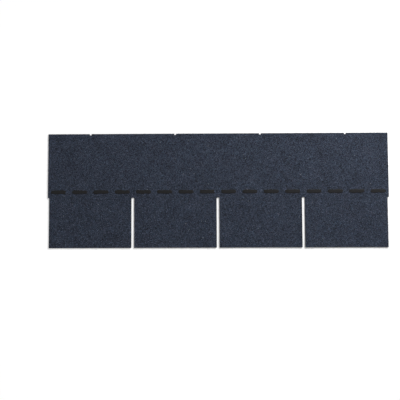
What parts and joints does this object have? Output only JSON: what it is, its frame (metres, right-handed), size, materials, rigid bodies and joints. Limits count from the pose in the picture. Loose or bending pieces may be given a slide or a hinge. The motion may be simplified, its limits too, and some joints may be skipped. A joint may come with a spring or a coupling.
{
  "type": "asphalt strip shingle",
  "caption": "Rectangular-tab asphalt strip shingle: granule-faced sheet with slots between its tabs, self-seal adhesive dashes, a plain head lap and a release film let into the back.",
  "frame": {"origin": "middle of the underside: halfway along the strip, halfway between its butt and head edges, on the plane that it lies on", "axes": "+X along the course, +Y up the roof from the butt edge of the tabs to the head edge, +Z out of the granule face"},
  "size_m": [1, 0.336, 0.0038],
  "materials": {
    "granule_sheet": "matte",
    "sealant": "satin",
    "release_film": "gloss"
  },
  "bodies": {
    "root": {"shingle_strip": "granule_sheet", "sealant_dash_01": "sealant", "sealant_dash_02": "sealant", "sealant_dash_03": "sealant", "sealant_dash_04": "sealant", "sealant_dash_05": "sealant", "sealant_dash_06": "sealant", "sealant_dash_07": "sealant", "sealant_dash_08": "sealant", "sealant_dash_09": "sealant", "sealant_dash_10": "sealant", "sealant_dash_11": "sealant", "sealant_dash_12": "sealant", "sealant_dash_13": "sealant", "sealant_dash_14": "sealant", "sealant_dash_15": "sealant", "sealant_dash_16": "sealant", "release_film": "release_film"}
  },
  "joints": []
}
